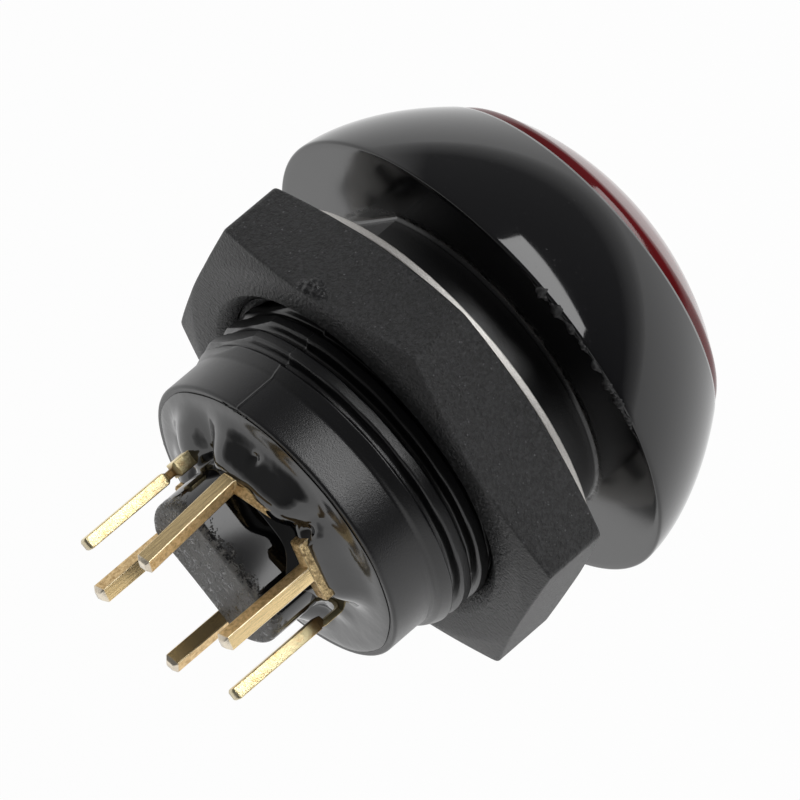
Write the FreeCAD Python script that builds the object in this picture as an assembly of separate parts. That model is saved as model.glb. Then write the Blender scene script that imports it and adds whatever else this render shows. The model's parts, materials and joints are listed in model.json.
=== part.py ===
# Illuminated push button switch for panel mounting, sealed, with a lamp under its domed lens.
# Every piece is drawn about its own axis, z towards the button with zero at the panel seat, and then laid
# over so that the button faces -Y, the terminals point to +Y and +Z is up.
import FreeCAD, Part
import math
import os

V = FreeCAD.Vector

# Bezel dome, in millimetres
bezel_d = 23.50
bezel_widest_z = 0.14
bezel_h = 5.96
bezel_curve = 1.59
bezel_band_count = 6
bezel_edge = 0.12
mouth_d = 18.10
mouth_edge = 0.20
web_t = 1.00
web_hole_d = 10.00

# Threaded bushing with one flat
thread_d = 15.875
thread_depth = 0.52
neck_len = 2.45
neck_swell = 0.03
bushing_len = 11.75
tail_len = 2.45
tail_step = 0.03
tail_edge = 0.15
tail_wall = 0.79
flat_cut = 0.49
relief_half_deg = 44.0
relief_depth = 0.16
bore_step = 0.40
rear_bore_len = 3.75

# How the switch lies, turned about its own axis
insert_turn_deg = 28.0
flat_turn_deg = 36.0
nut_turn_deg = 44.6

# Hex nut and lock washer
nut_gap = 0.11
nut_corner_reach = 0.17
nut_h = 3.99
nut_chamfer_deg = 15.0
nut_sink = 0.60
washer_w = 2.12
washer_t = 0.40
washer_play = 0.10
washer_tooth_count = 16
washer_tooth_len = 0.90
washer_tooth_share = 0.55

# Button: lens, holder, diffuser, plunger and seal
press_travel = 1.60
lens_gap = 0.12
lens_wall = 1.25
lens_rise = 3.69
lens_band_count = 5
hollow_band_count = 2
lens_skirt_len = 2.06
lens_floor_gap = 0.10
holder_t = 0.90
holder_gap = 0.10
spigot_len = 1.60
spigot_wall = 0.80
light_hole_d = 5.00
diffuser_inset = 1.10
diffuser_t = 0.80
plunger_neck_gap = 0.20
plunger_flange_gap = 0.10
plunger_flange_t = 1.90
skirt_wall = 0.55
skirt_gap = 0.25
seal_cord_d = 1.10
seal_gap = 0.05
seal_side_count = 6
stop_gap = 0.03

# Contact chamber
base_t = 2.20
base_gap = 0.05
post_d = 3.60
cover_wall = 0.55
cover_roof_t = 0.90
cover_roof_gap = 0.27
finger_t = 0.40
finger_w = 1.20
contact_d = 1.20
contact_h = 0.25
contact_gap = 0.80
contact_touch = 0.03
bridge_t = 0.40
bridge_ring_w = 0.90
bridge_post_gap = 0.30
bridge_arm_w = 1.60
bridge_arm_end = 0.75
bridge_slack = 0.05

# Springs
return_wire = 0.45
return_coil_pitch = 1.30
contact_wire = 0.25
contact_coil_pitch = 0.70
spring_seat_gap = 0.02
spring_side_count = 4

# Terminals and the boss between their rows, with how far each stands out behind the bushing
terminal_row = 2.15
terminal_column = 3.65
terminal_side = 0.72
terminal_tip_edge = 0.16
terminal_fit = 0.03
nc_terminal_out = 7.15
no_terminal_out = 6.60
bent_pin_base = 0.87
bent_pin_tip = 0.52
shoulder_w = 3.20
shoulder_out = 1.55
boss_d = 7.60
boss_across = 4.90
boss_out = 3.75
boss_edge = 0.25
potting_rim_drop = 0.12
potting_climb = 1.60
potting_boss_climb = 0.95

# Lamp and its leads
lead_side = 0.58
lead_column = 4.53
lead_bend_r = 0.50
lead_pitch = 2.54
lead_fit = 0.04
lead_channel_depth = 0.80
anode_out = 7.45
cathode_out = 6.45
tie_bar_out = 2.45
tie_bar_len = 0.90
tie_bar_w = 0.95
lamp_flange_d = 3.80
lamp_flange_t = 0.90
lamp_d = 3.00
lamp_seat_depth = 1.40
lamp_room = 0.30
lamp_nose_gap = 0.40
lamp_nose_band_count = 3

# Edges nearer to a level than this lie on it
level_slack = 0.000001

# Radii and diameters that follow from the sizes above
root_r = thread_d / 2 - thread_depth
neck_r = thread_d / 2 + neck_swell
tail_r = root_r - tail_step
flat_reach = thread_d / 2 - flat_cut
rear_bore_d = 2 * (tail_r - tail_wall)
bore_d = rear_bore_d - 2 * bore_step
nut_bore_d = thread_d + 2 * nut_gap
nut_corner_r = bezel_d / 2 + nut_corner_reach
nut_across = nut_corner_r * math.sqrt(3)
washer_d = nut_bore_d + 2 * washer_w
lens_r = mouth_d / 2 - lens_gap
holder_r = lens_r - lens_wall - holder_gap
spigot_d = light_hole_d + 2 * spigot_wall
plunger_neck_d = web_hole_d - 2 * plunger_neck_gap
plunger_hole_d = lamp_flange_d + 2 * lamp_room
skirt_d = plunger_hole_d + 2 * skirt_wall
cover_hole_d = skirt_d + 2 * skirt_gap
bridge_hole_d = post_d + 2 * bridge_post_gap
bridge_ring_d = bridge_hole_d + 2 * bridge_ring_w
seal_r = bore_d / 2 - seal_gap - seal_cord_d / 2

# Levels along the axis that follow from the sizes above
lens_low_z = bezel_h - lens_skirt_len
lens_top_z = bezel_h + lens_rise
bowl_floor_z = lens_low_z - press_travel - lens_floor_gap
web_under_z = bowl_floor_z - web_t
holder_top_z = lens_low_z + holder_t
flange_top_z = web_under_z - stop_gap
flange_low_z = flange_top_z - plunger_flange_t
seal_z = (flange_low_z + flange_top_z) / 2
washer_front_z = -neck_len - washer_play
washer_rear_z = washer_front_z - washer_t
nut_front_z = washer_rear_z
nut_rear_z = nut_front_z - nut_h
bushing_end_z = -bushing_len
tail_z = bushing_end_z + tail_len
base_front_z = bushing_end_z + rear_bore_len
base_rear_z = base_front_z - base_t
no_contact_top_z = base_front_z + finger_t + contact_h
bridge_rear_z = no_contact_top_z + contact_gap + contact_h
bridge_front_z = bridge_rear_z + bridge_t
nc_contact_low_z = bridge_front_z + contact_h + contact_touch
nc_finger_low_z = nc_contact_low_z + contact_h
roof_low_z = nc_finger_low_z + finger_t + cover_roof_gap
roof_top_z = roof_low_z + cover_roof_t
skirt_low_z = bridge_front_z + press_travel - contact_gap + bridge_slack
shoulder_z = bushing_end_z - shoulder_out
nc_tip_z = bushing_end_z - nc_terminal_out
no_tip_z = bushing_end_z - no_terminal_out
boss_end_z = bushing_end_z - boss_out
anode_tip_z = bushing_end_z - anode_out
cathode_tip_z = bushing_end_z - cathode_out
tie_bar_z = bushing_end_z - tie_bar_out
lamp_seat_z = -lamp_seat_depth
lamp_top_z = holder_top_z - press_travel - lamp_nose_gap


def turned(points):
    """Solid of revolution about the axis from a closed outline of (radius, height) points."""
    wire = Part.makePolygon([V(r, 0, z) for r, z in points + points[:1]])
    return Part.Face(wire).revolve(V(0, 0, 0), V(0, 0, 1), 360)


def tube(outer_d, inner_d, low_z, high_z):
    """Plain tube, or a disc where the inner diameter is zero."""
    body = Part.makeCylinder(outer_d / 2, high_z - low_z, V(0, 0, low_z))
    if inner_d:
        body = body.cut(Part.makeCylinder(inner_d / 2, high_z - low_z, V(0, 0, low_z)))
    return body


def block(x_size, y_size, low_z, high_z, x=0.0, y=0.0):
    """Upright block centred on (x, y)."""
    return Part.makeBox(x_size, y_size, high_z - low_z, V(x - x_size / 2, y - y_size / 2, low_z))


def edges_at(shape, z):
    """Edges of a shape that lie at one level."""
    return [edge for edge in shape.Edges if abs(edge.CenterOfMass.z - z) < level_slack]


def turn(shape, degrees):
    """Copy of a shape turned about the axis."""
    moved = shape.copy()
    moved.rotate(V(0, 0, 0), V(0, 0, 1), degrees)
    return moved


def coil(wire_d, mean_d, pitch, low_z, high_z):
    """Helical spring between the two levels, its round wire drawn with a few flat sides."""
    rise = high_z - low_z - wire_d
    path = Part.makeHelix(pitch, rise, mean_d / 2)
    corners = []
    for k in range(spring_side_count):
        angle = 2 * math.pi * k / spring_side_count
        corners.append(V(mean_d / 2 + wire_d / 2 * math.cos(angle), 0, wire_d / 2 * math.sin(angle)))
    body = Part.Wire(path).makePipeShell([Part.makePolygon(corners + corners[:1])], True, True)
    body.translate(V(0, 0, low_z + wire_d / 2))
    return body


def bezel_radius(z):
    """Outside radius of the dome at a height, a rounded curve that is upright at its widest level."""
    mouth_r = mouth_d / 2 + mouth_edge
    share = 1 - (2 * mouth_r / bezel_d) ** bezel_curve
    reach = (bezel_h - bezel_widest_z) / share ** (1 / bezel_curve)
    return bezel_d / 2 * (1 - ((z - bezel_widest_z) / reach) ** bezel_curve) ** (1 / bezel_curve)


def bezel_solid():
    """Dome with its flat seat, the bowl for the lens and the web over the bushing's bore."""
    rise = bezel_h - bezel_widest_z
    heights = [bezel_widest_z + rise * k / bezel_band_count for k in range(bezel_band_count + 1)]
    outside = [(bezel_radius(z), z) for z in heights]
    mouth_r = mouth_d / 2
    inside = [(mouth_r + mouth_edge / 2, bezel_h), (mouth_r, bezel_h - mouth_edge / 2),
              (mouth_r, bowl_floor_z), (web_hole_d / 2, bowl_floor_z), (web_hole_d / 2, web_under_z),
              (bore_d / 2, web_under_z), (bore_d / 2, 0), (bezel_d / 2 - bezel_edge, 0)]
    return turned(outside + inside)


def beyond_flat():
    """Block outside the bushing's flat, which has its own turn beside the insert's."""
    outside = block(bezel_d, 2 * bezel_d, bushing_end_z, 0, flat_reach + bezel_d / 2)
    return turn(outside, flat_turn_deg - insert_turn_deg)


def bushing_solid():
    """Bushing with its neck, threaded length and plain tail, cut by the flat and bored through."""
    neck = [(0, 0), (neck_r, 0), (neck_r, -neck_len), (thread_d / 2, -neck_len)]
    tail = [(thread_d / 2, tail_z), (tail_r, tail_z - (thread_d / 2 - tail_r)),
            (tail_r, bushing_end_z + tail_edge), (tail_r - tail_edge, bushing_end_z), (0, bushing_end_z)]
    body = turned(neck + tail)
    body = body.cut(beyond_flat()).cut(relief_solid())
    bore = tube(bore_d, 0, bushing_end_z, 0).fuse(tube(rear_bore_d, 0, bushing_end_z, base_front_z))
    return body.cut(bore)


def relief_solid():
    """Shell that takes the crests down on the flat's side, as far as the mould's parting lines."""
    crest_r = thread_d / 2 - relief_depth
    shell = tube(2 * thread_d, 2 * crest_r, bushing_end_z, -neck_len)
    reach = 2 * thread_d
    spread = reach * math.tan(math.radians(relief_half_deg))
    corners = [V(0, 0, bushing_end_z), V(reach, -spread, bushing_end_z), V(reach, spread, bushing_end_z)]
    wedge = Part.Face(Part.makePolygon(corners + corners[:1])).extrude(V(0, 0, bushing_len - neck_len))
    return shell.common(wedge)


def housing():
    """Dome and bushing in one moulding."""
    return turn(bezel_solid().fuse(bushing_solid()).removeSplitter(), insert_turn_deg)


def hex_nut():
    """Hex nut with both faces chamfered and a countersunk rear mouth."""
    corners = [turn(Part.Vertex(nut_corner_r, 0, nut_rear_z), 60 * k).Point for k in range(6)]
    prism = Part.Face(Part.makePolygon(corners + corners[:1])).extrude(V(0, 0, nut_h))
    flat_r = nut_across / 2
    drop = (nut_corner_r - flat_r) * math.tan(math.radians(nut_chamfer_deg))
    cone = turned([(0, nut_rear_z), (flat_r, nut_rear_z), (nut_corner_r, nut_rear_z + drop),
                   (nut_corner_r, nut_front_z - drop), (flat_r, nut_front_z), (0, nut_front_z)])
    bore_r = nut_bore_d / 2
    bore = turned([(0, nut_rear_z), (bore_r + nut_sink, nut_rear_z), (bore_r, nut_rear_z + nut_sink),
                   (bore_r, nut_front_z), (0, nut_front_z)])
    return turn(prism.common(cone).cut(bore), nut_turn_deg)


def lock_washer():
    """Flat washer with teeth cut inward to the thread."""
    ring = tube(washer_d, nut_bore_d, washer_rear_z, washer_front_z)
    pitch_deg = 360 / washer_tooth_count
    gap_w = math.pi * nut_bore_d / washer_tooth_count * (1 - washer_tooth_share)
    depth = nut_bore_d / 2 + washer_tooth_len
    slot = Part.makeBox(depth, gap_w, washer_t, V(0, -gap_w / 2, washer_rear_z))
    slots = [turn(slot, pitch_deg * k) for k in range(washer_tooth_count)]
    return ring.cut(slots[0].multiFuse(slots[1:]))


def ball_arc(radius, rise, top_z, bands):
    """Points of a ball's crown, from its edge at the given radius up to its top on the axis."""
    ball_r = (radius ** 2 + rise ** 2) / (2 * rise)
    half = math.asin(radius / ball_r)
    angles = [half * (1 - k / bands) for k in range(bands + 1)]
    return [(ball_r * math.sin(a), top_z - ball_r * (1 - math.cos(a))) for a in angles]


def lens_cap():
    """Domed cap, its outside a ball's crown over a short straight skirt, hollow underneath."""
    inner_r = lens_r - lens_wall
    crown = ball_arc(lens_r, lens_rise, lens_top_z, lens_band_count)
    inner_rise = lens_rise * inner_r / lens_r
    hollow = ball_arc(inner_r, inner_rise, lens_top_z - lens_wall, hollow_band_count)
    return turned([(lens_r, lens_low_z)] + crown + hollow[::-1] + [(inner_r, lens_low_z)])


def lens_holder():
    """Disc that carries the lens, with a spigot plugged into the plunger's neck."""
    disc = tube(2 * holder_r, light_hole_d, lens_low_z, holder_top_z)
    spigot = tube(spigot_d, light_hole_d, lens_low_z - spigot_len, lens_low_z)
    return disc.fuse(spigot).removeSplitter()


def light_diffuser():
    """Thin disc over the light hole."""
    return tube(2 * (holder_r - diffuser_inset), 0, holder_top_z, holder_top_z + diffuser_t)


def plunger():
    """Neck, flange with the seal's groove, and the skirt that pushes the bridge."""
    neck = tube(plunger_neck_d, plunger_hole_d, flange_top_z, lens_low_z)
    socket = tube(spigot_d + 2 * holder_gap, 0, lens_low_z - spigot_len - holder_gap, lens_low_z)
    flange = tube(bore_d - 2 * plunger_flange_gap, plunger_hole_d, flange_low_z, flange_top_z)
    groove_half = seal_cord_d / 2 + seal_gap
    groove = tube(2 * bore_d, 2 * (seal_r - groove_half), seal_z - groove_half, seal_z + groove_half)
    skirt = tube(skirt_d, plunger_hole_d, skirt_low_z, flange_low_z)
    return neck.cut(socket).fuse(flange.cut(groove)).fuse(skirt).removeSplitter()


def plunger_seal():
    """O-ring in the plunger's groove."""
    angles = [2 * math.pi * k / seal_side_count for k in range(seal_side_count)]
    cord_r = seal_cord_d / 2
    return turned([(seal_r + cord_r * math.cos(a), seal_z + cord_r * math.sin(a)) for a in angles])


def return_spring():
    """Spring between the contact cover and the plunger's flange."""
    mean_d = (cover_hole_d + bore_d) / 2
    return coil(return_wire, mean_d, return_coil_pitch, roof_top_z + spring_seat_gap,
                flange_low_z - spring_seat_gap)


def contact_spring():
    """Spring that lifts the bridge off the base."""
    mean_d = (bridge_hole_d + bridge_ring_d) / 2
    return coil(contact_wire, mean_d, contact_coil_pitch, base_front_z + spring_seat_gap,
                bridge_rear_z - spring_seat_gap)


def contact_cover():
    """Cap over the contact chamber, standing on the terminal base."""
    outer_d = bore_d - 2 * base_gap
    wall = tube(outer_d, outer_d - 2 * cover_wall, base_front_z, roof_low_z)
    roof = tube(outer_d, cover_hole_d, roof_low_z, roof_top_z)
    return turn(wall.fuse(roof).removeSplitter(), insert_turn_deg)


def contact_bridge():
    """Stamped bridge: a ring round the lamp post with an arm to each pair of contacts."""
    ring = tube(bridge_ring_d, 0, bridge_rear_z, bridge_front_z)
    arm = block(bridge_arm_w, 2 * (terminal_column + bridge_arm_end), bridge_rear_z, bridge_front_z)
    plate = ring.fuse(arm).removeSplitter()
    plate = plate.cut(tube(bridge_hole_d, 0, bridge_rear_z, bridge_front_z))
    for side in (1, -1):
        plate = plate.cut(rivet_shank(side))
    return turn(plate, insert_turn_deg)


def rivet_shank(side):
    """Shank of a bridge rivet, through the arm on one side."""
    return Part.makeCylinder(contact_d / 4, bridge_t, V(0, side * terminal_column, bridge_rear_z))


def bridge_contact(side):
    """Double-headed contact rivet in the bridge's arm."""
    centre_y = side * terminal_column
    rear = Part.makeCylinder(contact_d / 2, contact_h, V(0, centre_y, bridge_rear_z - contact_h))
    front = Part.makeCylinder(contact_d / 2, contact_h, V(0, centre_y, bridge_front_z))
    return turn(rear.fuse(rivet_shank(side)).fuse(front), insert_turn_deg)


def fixed_contact(side, low_z):
    """Contact button on a terminal's finger."""
    button = Part.makeCylinder(contact_d / 2, contact_h, V(0, side * terminal_column, low_z))
    return turn(button, insert_turn_deg)


def square_wire(side, y, z):
    """Square outline at a level, set off along the shoulder."""
    half = side / 2
    corners = [V(half, y + half, z), V(-half, y + half, z), V(-half, y - half, z), V(half, y - half, z)]
    return Part.makePolygon(corners + corners[:1])


def terminal_pin(tip_z, bent):
    """Square pin with a bevelled tip; a bent one is pushed along the shoulder and leans back."""
    base_y = -bent_pin_base if bent else 0.0
    tip_y = -bent_pin_tip if bent else 0.0
    tip_side = terminal_side - 2 * terminal_tip_edge
    outlines = [square_wire(terminal_side, base_y, shoulder_z),
                square_wire(terminal_side, tip_y, tip_z + terminal_tip_edge),
                square_wire(tip_side, tip_y, tip_z)]
    return Part.makeLoft(outlines, True, True)


def terminal_raw(row, side, finger_z, tip_z, grow=0.0):
    """Stamped terminal: finger to the bridge, riser through the base, shoulder and pin."""
    x = row * terminal_row
    y = side * terminal_column
    thick = terminal_side + 2 * grow
    facing_deg = math.degrees(math.atan2(y, x))
    riser = block(thick, thick, shoulder_z, finger_z + finger_t)
    shoulder = block(thick, shoulder_w + 2 * grow, shoulder_z, base_rear_z)
    post = riser.fuse(shoulder)
    if not grow:
        post = post.fuse(terminal_pin(tip_z, row > 0 and side > 0))
    post = turn(post, facing_deg)
    post.translate(V(x, y, 0))
    reach = abs(x) + finger_w / 2
    finger = block(reach, finger_w, finger_z, finger_z + finger_t, row * (reach / 2 - finger_w / 2), y)
    return post.fuse(finger).removeSplitter()


def nc_terminal(side, grow=0.0):
    """Terminal of the pair that the bridge rests on."""
    return terminal_raw(1, side, nc_finger_low_z, nc_tip_z, grow)


def no_terminal(side, grow=0.0):
    """Terminal of the pair that the bridge is pushed to."""
    return terminal_raw(-1, side, base_front_z, no_tip_z, grow)


def lead_path(row, tip_z):
    """Route of a lamp lead: down the post, out along the base and back to its tip."""
    inner_x = row * lead_pitch / 2
    outer_x = row * lead_column
    level_z = base_front_z - lead_channel_depth / 2
    r = lead_bend_r
    cut = r * (1 - math.sqrt(0.5))
    a0 = V(inner_x, 0, lamp_seat_z)
    a1 = V(inner_x, 0, level_z + r)
    a2 = V(inner_x + row * cut, 0, level_z + cut)
    a3 = V(inner_x + row * r, 0, level_z)
    b1 = V(outer_x - row * r, 0, level_z)
    b2 = V(outer_x - row * cut, 0, level_z - cut)
    b3 = V(outer_x, 0, level_z - r)
    b4 = V(outer_x, 0, tip_z)
    edges = [Part.makeLine(a0, a1), Part.Arc(a1, a2, a3).toShape(), Part.makeLine(a3, b1),
             Part.Arc(b1, b2, b3).toShape(), Part.makeLine(b3, b4)]
    return Part.Wire(edges), a0


def lamp_lead(row, tip_z, with_bar):
    """Square lead of the lamp, with the stub of its cut tie bar where it has one."""
    path, start = lead_path(row, tip_z)
    half = lead_side / 2
    corners = [start + V(-half, -half, 0), start + V(half, -half, 0), start + V(half, half, 0),
               start + V(-half, half, 0)]
    lead = path.makePipeShell([Part.makePolygon(corners + corners[:1])], True, True)
    if with_bar:
        stub = block(lead_side, tie_bar_w, tie_bar_z, tie_bar_z + tie_bar_len, row * lead_column)
        lead = lead.fuse(stub).removeSplitter()
    return turn(lead, insert_turn_deg)


def lamp():
    """Lamp body: flanged foot, straight barrel and a round nose."""
    nose = ball_arc(lamp_d / 2, lamp_d / 2, lamp_top_z, lamp_nose_band_count)
    foot_top_z = lamp_seat_z + lamp_flange_t
    return turned([(0, lamp_seat_z), (lamp_flange_d / 2, lamp_seat_z), (lamp_flange_d / 2, foot_top_z),
                   (lamp_d / 2, foot_top_z)] + nose)


def rear_boss():
    """Raised double-D boss between the two rows of terminals, its rear edge rounded off."""
    boss = tube(boss_d, 0, boss_end_z, base_rear_z).common(double_d_rows(boss_across))
    return boss.makeChamfer(boss_edge, edges_at(boss, boss_end_z))


def double_d_rows(across):
    """Slab between the terminal rows."""
    return block(2 * bore_d, across, boss_end_z, base_front_z)


def terminal_base():
    """Disc with the rear boss, the lamp post and the passages of terminals and leads."""
    disc = tube(rear_bore_d - 2 * base_gap, 0, base_rear_z, base_front_z)
    post = tube(post_d, 0, base_front_z, lamp_seat_z)
    body = disc.fuse(post).fuse(rear_boss())
    slot_w = lead_side + 2 * lead_fit
    channel_low = base_front_z - lead_channel_depth
    for row in (1, -1):
        inner_x = lead_pitch / 2 - slot_w / 2
        reach = lead_column + slot_w / 2 - inner_x
        middle_x = row * (inner_x + reach / 2)
        body = body.cut(block(reach, slot_w, channel_low, base_front_z, middle_x))
        body = body.cut(block(slot_w, slot_w, boss_end_z, base_front_z, row * lead_column))
        slot_x = row * (inner_x + post_d / 4)
        body = body.cut(block(post_d / 2, slot_w, base_front_z, lamp_seat_z, slot_x))
    for side in (1, -1):
        for passage in (nc_terminal(side, terminal_fit), no_terminal(side, terminal_fit)):
            body = body.cut(passage)
    return turn(body.removeSplitter(), insert_turn_deg)


def potting():
    """Resin in the rear end, low at the rim and climbing the boss."""
    rim_r = rear_bore_d / 2
    rim_z = bushing_end_z + potting_rim_drop
    boss_r = boss_d / 2
    wall_r = boss_across / 2
    body = turned([(rim_r, rim_z), (boss_r, rim_z - potting_boss_climb), (wall_r, rim_z - potting_climb),
                   (wall_r, base_rear_z), (rim_r, base_rear_z)])
    body = body.cut(rear_boss())
    for side in (1, -1):
        body = body.cut(nc_terminal(side)).cut(no_terminal(side))
    body = turn(body, insert_turn_deg)
    return body.cut(lamp_lead(1, anode_tip_z, True)).cut(lamp_lead(-1, cathode_tip_z, False))


def export(name, shape):
    """Lay a piece over into the part's frame and write it."""
    laid = shape.copy()
    laid.rotate(V(0, 0, 0), V(1, 0, 0), 90)
    laid.exportStep("parts/" + name + ".step")
    print(name, round(laid.Volume, 3), len(laid.Solids), laid.isValid())


os.makedirs("parts", exist_ok=True)
export("housing", housing())
export("hex_nut", hex_nut())
export("lock_washer", lock_washer())
export("lens_cap", lens_cap())
export("lens_holder", lens_holder())
export("light_diffuser", light_diffuser())
export("plunger", plunger())
export("plunger_seal", plunger_seal())
export("contact_cover", contact_cover())
export("contact_bridge", contact_bridge())
export("terminal_base", terminal_base())
export("potting", potting())
export("led_lamp", lamp())
export("led_anode_lead", lamp_lead(1, anode_tip_z, True))
export("led_cathode_lead", lamp_lead(-1, cathode_tip_z, False))
export("return_spring", return_spring())
export("contact_spring", contact_spring())
for number, side in ((1, -1), (2, 1)):
    export("nc_terminal_%d" % number, turn(nc_terminal(side), insert_turn_deg))
    export("no_terminal_%d" % number, turn(no_terminal(side), insert_turn_deg))
    export("nc_contact_%d" % number, fixed_contact(side, nc_contact_low_z))
    export("no_contact_%d" % number, fixed_contact(side, no_contact_top_z - contact_h))
    export("bridge_contact_%d" % number, bridge_contact(side))
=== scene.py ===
"""Illuminated push button switch: smooth visible pieces, finishes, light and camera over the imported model.

Shapes are worked out in millimetres about the switch's axis. A point has a radius from the axis, a depth
behind the panel seat, which grows towards the terminals along +Y, and an angle from +X towards +Z.
"""
import bmesh
import bpy
import json
import math
import numpy as np
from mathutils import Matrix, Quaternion, Vector


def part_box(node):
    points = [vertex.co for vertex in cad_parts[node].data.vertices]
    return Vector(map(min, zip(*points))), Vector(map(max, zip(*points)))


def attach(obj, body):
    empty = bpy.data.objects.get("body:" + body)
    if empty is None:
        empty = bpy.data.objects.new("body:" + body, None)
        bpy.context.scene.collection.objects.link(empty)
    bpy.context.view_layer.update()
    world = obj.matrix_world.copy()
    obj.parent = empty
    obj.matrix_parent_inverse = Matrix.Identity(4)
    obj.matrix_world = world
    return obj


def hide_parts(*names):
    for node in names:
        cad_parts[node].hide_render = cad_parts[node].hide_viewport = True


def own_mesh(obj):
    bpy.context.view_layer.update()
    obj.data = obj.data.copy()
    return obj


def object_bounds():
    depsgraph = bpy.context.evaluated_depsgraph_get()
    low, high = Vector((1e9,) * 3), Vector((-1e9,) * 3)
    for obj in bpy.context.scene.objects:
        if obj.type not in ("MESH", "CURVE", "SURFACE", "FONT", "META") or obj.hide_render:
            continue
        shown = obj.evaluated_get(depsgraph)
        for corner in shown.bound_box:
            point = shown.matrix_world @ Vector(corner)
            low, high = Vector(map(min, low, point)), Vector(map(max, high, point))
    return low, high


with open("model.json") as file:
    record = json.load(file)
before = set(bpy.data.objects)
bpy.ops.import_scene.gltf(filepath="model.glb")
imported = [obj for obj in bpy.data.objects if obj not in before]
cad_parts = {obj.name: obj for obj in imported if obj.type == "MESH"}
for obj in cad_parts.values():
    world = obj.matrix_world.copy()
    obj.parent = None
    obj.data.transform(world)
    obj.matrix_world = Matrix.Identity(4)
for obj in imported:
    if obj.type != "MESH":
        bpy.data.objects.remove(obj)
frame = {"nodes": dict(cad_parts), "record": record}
cad_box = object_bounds()

MM = 0.001
TAU = 2 * math.pi


def node_span(node):
    """Lowest and highest corner of a CAD node, in millimetres."""
    low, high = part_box(node)
    return np.array(low) / MM, np.array(high) / MM


# Dome with its seat, mouth, bowl and web, and the lens in it
HOUSING_LOW, HOUSING_HIGH = node_span("housing")
BEZEL_R = HOUSING_HIGH[0]
BEZEL_FRONT = HOUSING_LOW[1]
BEZEL_WIDEST = -0.14
BEZEL_CURVE = 1.59
SEAT_EDGE = 0.12
SEAT_ROOT = 0.04
LENS_LOW, LENS_HIGH = node_span("lens_cap")
LENS_R = LENS_HIGH[0]
LENS_TOP = LENS_LOW[1] + 0.13
LENS_WALL = 1.25
LENS_SHOULDER = 0.58
LENS_LEAN = 0.09
LENS_EDGE = 0.26
MOUTH_R = LENS_R + 0.12
MOUTH_EDGE = 0.20
BOWL_FLOOR = -2.20
WEB_UNDER = -1.20
WEB_HOLE_R = 5.00

# Bushing: bores, thread, plain tail and neck, one flat, and the relief between two parting lines
BUSHING_END = HOUSING_HIGH[1]
RIM_EDGE = 0.15
BORE_R = 6.1975
REAR_BORE_R = 6.5975
REAR_BORE_START = 8.00
THREAD_R = 7.9375
THREAD_PITCH = 25.4 / 24
THREAD_ROOT = 0.22
THREAD_FLANK = 0.30
ROWS_PER_PITCH = 19
ROOT_R = 7.4175
TAIL_R = 7.3875
RUN_OUT_START = 8.50
RUN_OUT_END = 9.90
NECK_R = 7.9675
NECK_END = 2.45
NECK_SOFT = 0.05
NECK_DEPTHS = (1.9, 1.2, 0.6, 0.25)
FLAT_REACH = 7.4475
FLAT_TURN = math.radians(36)
INSERT_TURN = math.radians(28)
RELIEF_HALF = math.radians(44)
RELIEF_SOFT = 0.012
RELIEF_DEPTH = 0.16
PARTING_SHIFT = 0.09
PARTING_HEIGHT = 0.03
PARTING_WIDTH = 0.006

# Nut with the torn gate on one side, and washer
NUT_LOW, NUT_HIGH = node_span("hex_nut")
NUT_FRONT, NUT_REAR = NUT_LOW[1], NUT_HIGH[1]
NUT_TURN = math.radians(44.6)
HALF_SIDE_TURN = math.pi / 6
NUT_CORNER_R = 11.92
NUT_SIDE = NUT_CORNER_R * math.cos(HALF_SIDE_TURN)
NUT_ROUND = 0.35
NUT_EDGE = 0.14
NUT_FACE_IN = 0.15
NUT_CHAMFER = math.tan(math.radians(15))
NUT_BORE_R = 8.0475
NUT_MINOR_R = 7.62
NUT_SINK = 0.60
NUT_FRONT_SINK = 0.30
GATE_TURN = NUT_TURN + HALF_SIDE_TURN
GATE_ALONG = -0.30
GATE_DEPTH = 6.42
GATE_HALF_LONG = 0.86
GATE_HALF_HIGH = 0.50
GATE_LIFT = 0.17
GATE_SINK = 0.08
WASHER_LOW, WASHER_HIGH = node_span("lock_washer")
WASHER_R = WASHER_HIGH[0]
WASHER_TEETH = 16
WASHER_GAP = 0.90
WASHER_EDGE = 0.07
WASHER_WAVE = 0.01
WASHER_PLAY = 0.02

# Rear end: base with its boss and post, terminals and lamp leads
BASE_LOW, BASE_HIGH = node_span("terminal_base")
BOSS_END = BASE_HIGH[1]
LAMP_SEAT = BASE_LOW[1]
BASE_FRONT = 8.00
BASE_REAR = 10.20
BASE_R = 6.5475
BASE_EDGE = 0.32
POST_R = 1.80
BOSS_R = 3.80
BOSS_HALF = 2.45
TERMINAL_ROW = 2.15
TERMINAL_COLUMN = 3.65
TERMINAL_HALF = 0.36
SHOULDER_HALF = 1.60
SHOULDER_END = 13.30
BENT_BASE = 0.87
BENT_TIP = 0.52
BENT_TWIST = math.radians(-14)
FINGER_T = 0.40
FINGER_W = 1.20
PIN_EDGE = 0.06
FINGER_EDGE = 0.05
LEAD_COLUMN = 4.53
LEAD_PITCH = 2.54
LEAD_HALF = 0.29
LEAD_LEVEL = 8.40
LEAD_BEND = 0.50

# Marks of the leads: depths at which each starts, is full, starts to end and has ended, and what it adds
# or takes away
STUB_SPAN = (12.70, 12.80, 13.92, 14.00)
STUB_WIDER = 0.16
STUB_THICKER = 0.06
# over this span the notch is also darkened in colour, which is painted shade
NOTCH_SPAN = (13.90, 14.00, 14.36, 14.50)
NOTCH_NARROWER = 0.10
NOTCH_THINNER = 0.11
NIP_STAIN_SPAN = (12.9, 13.0, 13.3, 13.9)
NIP_END = (12.95, 13.10)
NIP_DEPTH = 0.15

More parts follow.
